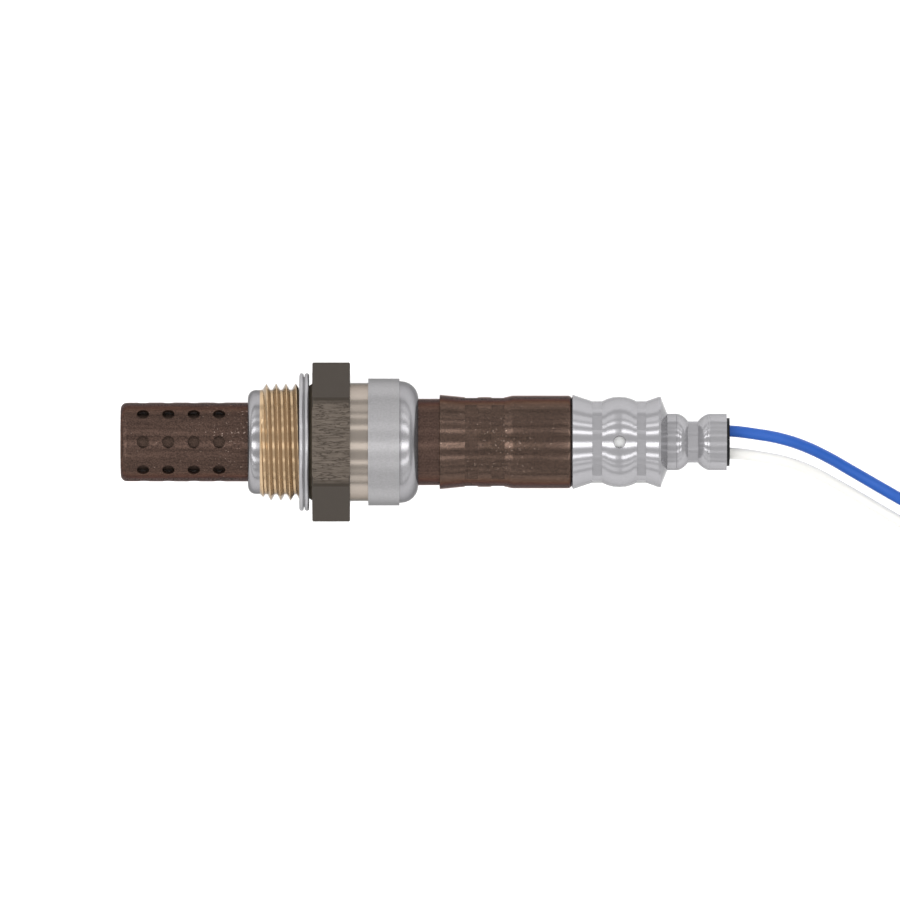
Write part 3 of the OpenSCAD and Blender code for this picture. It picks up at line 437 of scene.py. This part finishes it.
def thread_shell():
    """The right-handed thread: one pitch of its outline, spun about +X and drawn along it.

    It is cut square at both ends, its front turns are chamfered at 45 degrees, and its rims are
    turned in to the shank.
    """
    bm = bmesh.new()
    flank = THREAD_DEPTH * tan(radians(THREAD_ANGLE / 2))
    root_flat = THREAD_PITCH - CREST_FLAT - 2 * flank
    root_r = THREAD_R - THREAD_DEPTH
    outline = [(0, root_r), (root_flat, root_r)]
    outline += [(root_flat + flank * k / FLANK_CUTS, root_r + THREAD_DEPTH * k / FLANK_CUTS)
                for k in range(1, FLANK_CUTS + 1)]
    outline += [(root_flat + flank + CREST_FLAT + flank * k / FLANK_CUTS,
                 THREAD_R - THREAD_DEPTH * k / FLANK_CUTS) for k in range(FLANK_CUTS + 1)]
    start = CREST_X - root_flat - flank - CREST_FLAT / 2 - 2 * THREAD_PITCH
    line = [bm.verts.new((start + x, 0, r)) for x, r in outline]
    edges = [bm.edges.new(pair) for pair in zip(line, line[1:])]
    bmesh.ops.spin(bm, geom=line + edges, cent=(0, 0, 0), axis=(1, 0, 0),
                   dvec=(THREAD_PITCH / STEPS_PER_TURN, 0, 0), angle=2 * pi * THREAD_TURNS,
                   steps=STEPS_PER_TURN * THREAD_TURNS)
    bmesh.ops.remove_doubles(bm, verts=bm.verts, dist=2 * MERGE_GAP)
    for x, side in ((X_THREAD, -1), (0, 1)):
        bmesh.ops.bisect_plane(bm, geom=bm.verts[:] + bm.edges[:] + bm.faces[:],
                               plane_co=(x, 0, 0), plane_no=(side, 0, 0), clear_outer=True)
    for vert in bm.verts:
        allowed = RELIEF_R + max(0, vert.co.x - X_THREAD)
        r = hypot(vert.co.y, vert.co.z)
        if r > allowed:
            vert.co.yz = vert.co.yz * (allowed / r)
    rim = [e for e in bm.edges if e.is_boundary]
    inward = bmesh.ops.extrude_edge_only(bm, edges=rim)["geom"]
    for vert in (v for v in inward if isinstance(v, bmesh.types.BMVert)):
        vert.co.yz = vert.co.yz * (RIM_R / hypot(vert.co.y, vert.co.z))
    bmesh.ops.recalc_face_normals(bm, faces=bm.faces)
    return bm


# The plain shank of the solid is turned down to the relief, and the thread takes its place.
housing_bm = merged_copy("housing")
for vert in housing_bm.verts:
    r = hypot(vert.co.y, vert.co.z)
    if X_RELIEF < vert.co.x < SLACK and r > RELIEF_R + SLACK:
        vert.co.yz = vert.co.yz * (RELIEF_R / r)
bmesh.ops.dissolve_degenerate(housing_bm, edges=housing_bm.edges, dist=MERGE_GAP)
housing_bm.normal_update()
# Each face takes the finish of its zone along the axis, found at a point just under the face.
for face in housing_bm.faces:
    x = (face.calc_center_median() - face.normal * ZONE_DEPTH).x
    face.material_index = sum(x > edge for edge in ZONE_EDGES)
thread_bm = thread_shell()
for face in thread_bm.faces:
    face.material_index = 1
thread_mesh = bpy.data.meshes.new("thread")
thread_bm.to_mesh(thread_mesh)
thread_bm.free()
housing_bm.from_mesh(thread_mesh)


HEXAGON_DARK, HEXAGON_LIT_FLECK, HEXAGON_CRACK = "312c27", "5a524b", "26211d"
# Faces nearer than 30 degrees to straight up or down take the painted light; the cosine of 30
# degrees lies between these two.
LIT_FLAT_LOW, LIT_FLAT_HIGH = 0.855, 0.875


def hexagon_material():
    """Forged skin, plated dark: dull and brown-grey, with fine cracks along the axis.

    Cracks and lighter flecks show only on faces whose normal is within 30 degrees of straight up or
    straight down. This is painted light: the flat that faces the lamps is drawn lighter and marked,
    and the slanted flats stay plain dark.
    """
    material, tree, shader, coords = start_material("forged_hexagon", HEXAGON_DARK, 0.5, 0.5)
    shader.inputs["Specular Tint"].default_value = linear("a89e92")
    wander = add_node(tree, "ShaderNodeTexNoise",
                      {"Vector": coords, "Scale": per_mm(1.2), "Detail": 2.0})
    bent = add_node(tree, "ShaderNodeVectorMath",
                    {0: wander.outputs["Color"], 1: (0.3 * MM,) * 3, 2: coords},
                    operation="MULTIPLY_ADD")
    along = add_node(tree, "ShaderNodeMapping",
                     {"Vector": bent.outputs[0], "Scale": (0.12, 1, 1)})
    folds = add_node(tree, "ShaderNodeTexNoise",
                     {"Vector": along.outputs["Vector"], "Scale": per_mm(0.45), "Detail": 3.0,
                      "Roughness": 0.6})
    off_middle = add_node(tree, "ShaderNodeMath", {0: folds.outputs["Fac"], 1: 0.5},
                          operation="SUBTRACT")
    width = add_node(tree, "ShaderNodeMath", {0: off_middle.outputs[0]}, operation="ABSOLUTE")
    crack = add_node(tree, "ShaderNodeMapRange",
                     {"Value": width.outputs[0], "From Min": 0.0, "From Max": 0.045,
                      "To Min": 0.9, "To Max": 0.0})
    normal = add_node(tree, "ShaderNodeSeparateXYZ",
                      {0: add_node(tree, "ShaderNodeNewGeometry").outputs["True Normal"]})
    tilt = add_node(tree, "ShaderNodeMath", {0: normal.outputs["Z"]}, operation="ABSOLUTE")
    # Painted light: only faces near straight up or down take the lighter flecks and the cracks.
    lit_flat = add_node(tree, "ShaderNodeMapRange",
                      {"Value": tilt.outputs[0], "From Min": LIT_FLAT_LOW, "From Max": LIT_FLAT_HIGH})
    cracked = add_node(tree, "ShaderNodeMath", {0: crack.outputs[0], 1: lit_flat.outputs[0]},
                       operation="MULTIPLY")
    specks = add_node(tree, "ShaderNodeTexNoise",
                      {"Vector": along.outputs["Vector"], "Scale": per_mm(0.22), "Detail": 2.0})
    flecked = add_node(tree, "ShaderNodeMapRange",
                       {"Value": specks.outputs["Fac"], "From Min": 0.3, "From Max": 0.8,
                        "To Min": 0.4})
    lit_fleck_share = add_node(tree, "ShaderNodeMath", {0: flecked.outputs[0],
                                                    1: lit_flat.outputs[0]}, operation="MULTIPLY")
    base = add_node(tree, "ShaderNodeMix", {0: lit_fleck_share.outputs[0], 6: linear(HEXAGON_DARK),
                                            7: linear(HEXAGON_LIT_FLECK)}, data_type="RGBA")
    tint = add_node(tree, "ShaderNodeMix", {0: cracked.outputs[0], 6: base.outputs[2],
                                            7: linear(HEXAGON_CRACK)}, data_type="RGBA")
    tree.links.new(tint.outputs[2], shader.inputs["Base Color"])
    bump = add_node(tree, "ShaderNodeBump",
                    {"Height": cracked.outputs[0], "Strength": 0.5, "Distance": 0.05 * MM},
                    invert=True)
    tree.links.new(bump.outputs["Normal"], shader.inputs["Normal"])
    return material


# The lip and the shoulder are smooth and cold grey where tools rubbed them. The coat turns the
# thread a shiny bronze, and the collar by it is dull and warm.
burnished_lip = satin_steel_material("burnished_lip", "878688", "7d7c7e", 0.2, 0.5, 0.05)
burnished_shoulder = satin_steel_material("burnished_shoulder", "89888a", "7f7e80", 0.25, 0.6,
                                          0.05)
anti_seize_thread = satin_steel_material("anti_seize_thread", "b39a7a", "9c866c", 0.17, 0.5, 0.1,
                                         metallic=0.65)
turned_collar = satin_steel_material("turned_collar", "887c6c", "796e60", 0.4, 0.5, 0.1,
                                     metallic=0.3)
# The neck shines in faint streaks along the axis, and the blasted barrel glitters all over.
turned_neck = satin_steel_material("turned_neck", "958c83", "8a8179", 0.17, 0.5, 0.05, stretch=6)
blasted_barrel = satin_steel_material("blasted_barrel", "989798", "7a797a", 0.36, 0.22, 0.6,
                                      stretch=1.5)
housing_body = new_piece(housing_bm, "housing_body",
                         [burnished_lip, anti_seize_thread, turned_collar, hexagon_material(),
                          turned_neck, blasted_barrel, burnished_shoulder])
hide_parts("housing")


# The gasket: a ring folded from thin stainless sheet, its two round-edged leaves bright silver.
# It stays captive behind the thread and is squeezed when the sensor is screwed in.
dress("gasket", satin_steel_material("folded_gasket", "979698", "8b8a8c", 0.34, 0.4, 0.1,
                                     metallic=0.65))


# The tubes behind the housing: a plain inner tube and a stepped outer sleeve, both stainless and
# tinted brown. The sleeve flares at its front edge and is crimped on the tube at two bands.
tinted_sleeve = heat_tinted_material("heat_tinted_sleeve", "382e29", "52433b", 0.2, scuffs=0.6,
                                     scuff_centre=(31 * MM, -1 * MM, 7 * MM))
dress("inner_tube", heat_tinted_material("heat_tinted_tube", "382c28", "4e3e37", 0.3))

SLEEVE_OUTSIDE_R = 6.85 * MM
BEAD_X, BEAD_LENGTH = 27.45 * MM, 2.1 * MM
BEAD_R, BEAD_HEIGHT = 6.9 * MM, 0.035 * MM
STEP_X, STEP_LENGTH, STEP_STRETCH = 31.55 * MM, 0.7 * MM, 2.3


def sleeve_crease(edge):
    """The flare's and the bands' edges are creased; the step behind them is one soft curve."""
    low, high = (vert.co for vert in edge.verts)
    goes_round = abs(high.x - low.x) < 0.2 * (high - low).length
    limit = 5 if goes_round else 12
    if low.x > STEP_X + SLACK:
        limit = 30
    return edge.calc_face_angle(0) > radians(limit)


# The bead between the bands is drawn as one low swell, and the step behind them is drawn longer.
sleeve_bm = merged_copy("outer_sleeve")
for vert in sleeve_bm.verts:
    x, r = vert.co.x, hypot(vert.co.y, vert.co.z)
    if r < SLEEVE_OUTSIDE_R:
        continue
    if SLACK < x - BEAD_X < BEAD_LENGTH - SLACK:
        rise = BEAD_HEIGHT * sin(pi * (x - BEAD_X) / BEAD_LENGTH)
        vert.co.yz = vert.co.yz * ((BEAD_R + rise) / r)
    elif 0 < x - STEP_X < STEP_LENGTH:
        vert.co.x = STEP_X + (x - STEP_X) * STEP_STRETCH
sleeve_shell = new_piece(sleeve_bm, "sleeve_shell", [tinted_sleeve], sleeve_crease)
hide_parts("outer_sleeve")


# Inside them: two contacts of plated spring sheet, an alumina insulator that keeps them apart
# and a slotted spring washer that holds the insulator still.
# The plating is pale and warm with a soft shine, and the spring steel a colder grey.
contact_finish = satin_steel_material("plated_contact", "cfc7b0", "b3aa92", 0.32, 0.5, 0.1)
dress("ground_contact", contact_finish)
dress("signal_contact", contact_finish)
dress("terminal_insulator", grained_material("insulator_finish", "f2f1ee", "e6e3dc", 0.4, 0.5))
dress("insulator_spring", satin_steel_material("spring_steel", "a9adb5", "8f939b", 0.35, 0.4, 0.1))


# The rear cover: deep-drawn stainless left bright, with air vents in its bulge, two crimp bands
# and a waist that is crimped on the grommet. A white porous filter shows in each vent.
VENT_X = 49.225 * MM
VENT_R = 0.875 * MM
# Painted shade round each vent: full dark just outside its rim, gone at the second distance.
VENT_SHADE_INSIDE, VENT_SHADE_OUTSIDE = 0.03 * MM, 0.12 * MM
NECK_X = 57 * MM
NECK_R, WAIST_R = 4.38 * MM, 3.3 * MM
WAIST_START, WAIST_END = 59.6 * MM, 61.5 * MM
BEND_CUTS = (57.85 * MM, 63.35 * MM)
SHARE_SLACK = 0.01
# Where each bend of the neck starts in the solid and where it starts here, and where it ends.
NECK_BENDS = ((58.25 * MM, 57.95 * MM, 59.75 * MM), (62.95 * MM, 63.25 * MM, 61.35 * MM))


def rear_cover_material():
    """Bright drawn steel, with painted shade on the wall of each of its four vents and in a thin
    dark ring round it.
    """
    material = satin_steel_material("bright_drawn_steel", "8d8c8f", "858486", 0.16, 0.35, 0.05,
                                    metallic=0.55)
    tree = material.node_tree
    shader = tree.nodes["Principled BSDF"]
    steel = shader.inputs["Base Color"].links[0].from_socket
    coords = add_node(tree, "ShaderNodeTexCoord").outputs["Object"]
    nearest = None
    for plane in ((1, 1, 0), (1, 0, 1)):
        across = add_node(tree, "ShaderNodeVectorMath",
                          {0: coords, 1: plane, 2: (-VENT_X, 0, 0)}, operation="MULTIPLY_ADD")
        away = add_node(tree, "ShaderNodeVectorMath", {0: across.outputs[0]},
                        operation="LENGTH").outputs["Value"]
        nearest = away if nearest is None else add_node(
            tree, "ShaderNodeMath", {0: nearest, 1: away}, operation="MINIMUM").outputs[0]
    # Painted shade: the vent's wall and a thin ring round it are darkened, for the shadow that
    # falls in the hole.
    edge = add_node(tree, "ShaderNodeMapRange",
                    {"Value": nearest, "From Min": VENT_R + VENT_SHADE_INSIDE,
                     "From Max": VENT_R + VENT_SHADE_OUTSIDE, "To Min": 1.0, "To Max": 0.0})
    tint = add_node(tree, "ShaderNodeMix", {0: edge.outputs[0], 6: steel,
                                            7: linear("403f41")}, data_type="RGBA")
    tree.links.new(tint.outputs[2], shader.inputs["Base Color"])
    return material


def cover_crease(edge):
    """Bands, cones and waist keep their edges; the bulge and the bends of the neck are curves."""
    x = edge.verts[0].co.x
    in_neck_bend = x > NECK_X and not WAIST_START < x < WAIST_END
    return edge.calc_face_angle(0) > radians(25 if in_neck_bend else 13)


# Each bend of the neck gets one more ring of edges, and is drawn as one curve down to the waist.
rear_bm = merged_copy("rear_cover")
for x in BEND_CUTS:
    bmesh.ops.bisect_plane(rear_bm, geom=rear_bm.verts[:] + rear_bm.edges[:] + rear_bm.faces[:],
                           plane_co=(x, 0, 0), plane_no=(1, 0, 0))
for vert in rear_bm.verts:
    x, r = vert.co.x, hypot(vert.co.y, vert.co.z)
    for solid_start, start, end in NECK_BENDS:
        down = (x - solid_start) / (end - solid_start)
        if -SHARE_SLACK < down < 1 - SHARE_SLACK and r > WAIST_R:
            vert.co.x = start + down * (end - start)
            vert.co.yz = vert.co.yz * ((NECK_R - (NECK_R - WAIST_R) * down ** 2) / r)
rear_shell = new_piece(rear_bm, "rear_shell", [rear_cover_material()], cover_crease)
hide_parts("rear_cover")
# The filter is a sintered fluoropolymer, dull and dead white.
dress("vent_filter", grained_material("porous_filter", "f4f4f4", "dededd", 0.8, 0.15))


# The grommet: moulded black fluoro rubber, matt, that the cover's waist grips round both leads.
# Only a thin black disc of it shows behind the cover.
def moulded_material(name, colour, shade, roughness, grain):
    """Moulded rubber or plastic: matt, with a fine pebble from the mould and little shine."""
    material = grained_material(name, colour, shade, roughness, grain, strength=0.3)
    shader = material.node_tree.nodes["Principled BSDF"]
    shader.inputs["Specular IOR Level"].default_value = 0.15
    return material


dress("grommet", moulded_material("fluoro_rubber", "101013", "0b0b0d", 0.6, 0.4))


# The coil's tie, the connector and its small parts: black nylon for the tie, glass-filled nylon
# for the housing, orange silicone seals, a pale lock and brass terminals.
# Nylon has a dull sheen, silicone is soft and even in colour, and bare brass shines yellow.
dress("lead_tie", moulded_material("black_nylon_tie", "222225", "19191b", 0.42, 0.6))
dress("connector_housing", moulded_material("moulded_connector", "4a4d52", "3f4247", 0.45, 0.5))
silicone = moulded_material("seal_silicone_finish", "d9762f", "c9692a", 0.5, 0.6)
for seal in ("connector_seal", "wire_seal_1", "wire_seal_2"):
    dress(seal, silicone)
dress("connector_lock", moulded_material("moulded_lock", "d9d4c6", "cec8b8", 0.45, 0.6))
brass = satin_steel_material("stamped_brass", "d3b877", "bd9f5d", 0.3, 0.4, 0.1)
for terminal in ("connector_terminal_1", "connector_terminal_2"):
    dress(terminal, brass)
